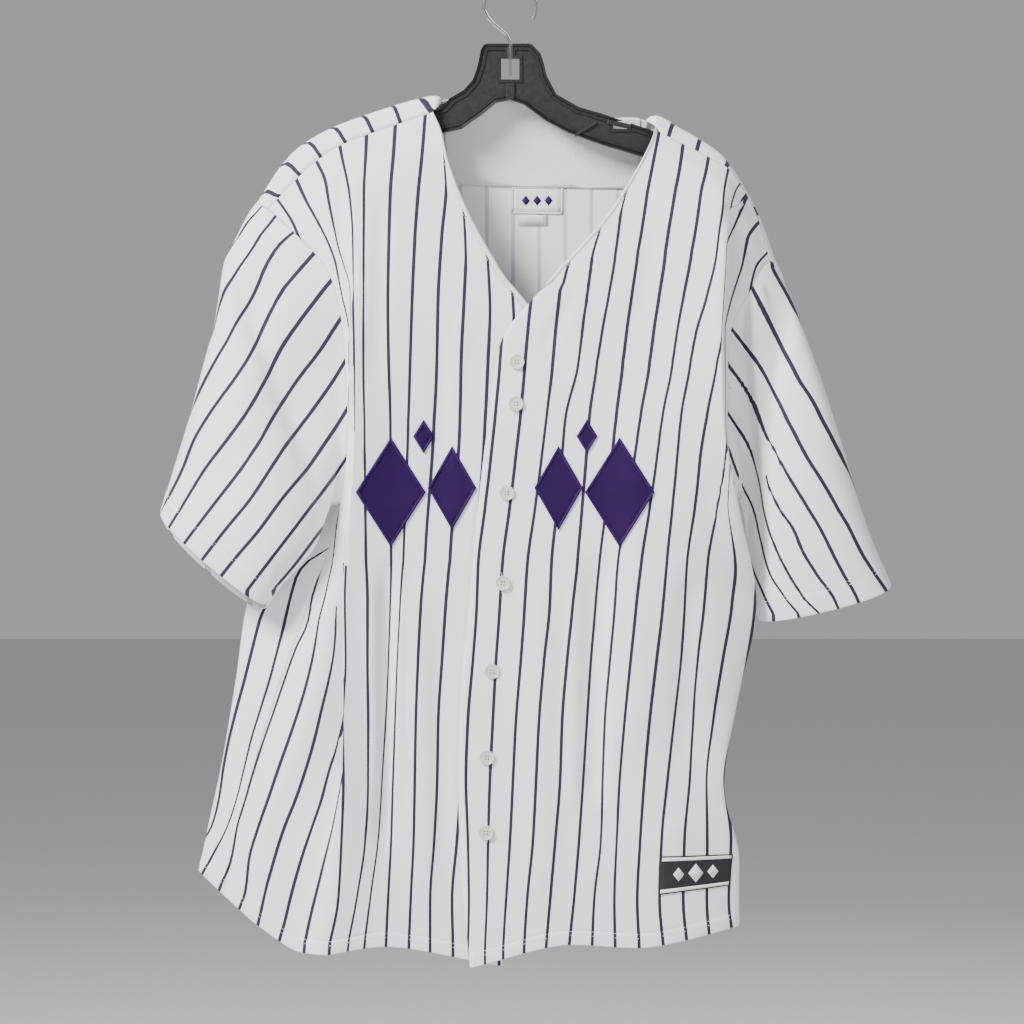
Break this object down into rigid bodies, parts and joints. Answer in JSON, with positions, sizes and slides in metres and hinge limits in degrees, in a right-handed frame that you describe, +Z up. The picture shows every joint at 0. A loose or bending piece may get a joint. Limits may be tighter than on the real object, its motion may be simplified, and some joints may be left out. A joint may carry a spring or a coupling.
{
  "type": "baseball jersey on a hanger",
  "caption": "Short-sleeved baseball jersey with pinstripes, V neck and button front, hanging on a moulded hanger with a wire hook.",
  "frame": {"origin": "inside top of the wire hook, where it rests on a rail", "axes": "+Z up, -Y out of the button front, +X to the wearer's left sleeve"},
  "size_m": [0.7012, 0.1092, 0.9442],
  "materials": {
    "white_jersey_knit": "soft matte knit",
    "white_facing_cloth": "matte",
    "purple_twill": "satin twill",
    "black_woven_label": "matte woven",
    "white_woven_label": "matte woven",
    "pearly_button": "pearly",
    "charcoal_plastic": "semi-matte moulded",
    "hook_steel": "bright wire"
  },
  "bodies": {
    "root": {"front_right": "white_jersey_knit", "front_left": "white_jersey_knit", "back": "white_jersey_knit", "sleeve_right": "white_jersey_knit", "sleeve_left": "white_jersey_knit", "back_neck_facing": "white_facing_cloth", "neck_binding_right": "white_facing_cloth", "neck_binding_left": "white_facing_cloth", "chest_motif_1": "purple_twill", "chest_motif_2": "purple_twill", "chest_motif_3": "purple_twill", "chest_motif_4": "purple_twill", "chest_motif_5": "purple_twill", "chest_motif_6": "purple_twill", "hem_patch": "black_woven_label", "neck_label": "white_woven_label", "size_tab": "white_woven_label", "button_1": "pearly_button", "button_2": "pearly_button", "button_3": "pearly_button", "button_4": "pearly_button", "button_5": "pearly_button", "button_6": "pearly_button", "button_7": "pearly_button", "hanger": "charcoal_plastic", "hook_wire": "hook_steel"}
  },
  "joints": []
}
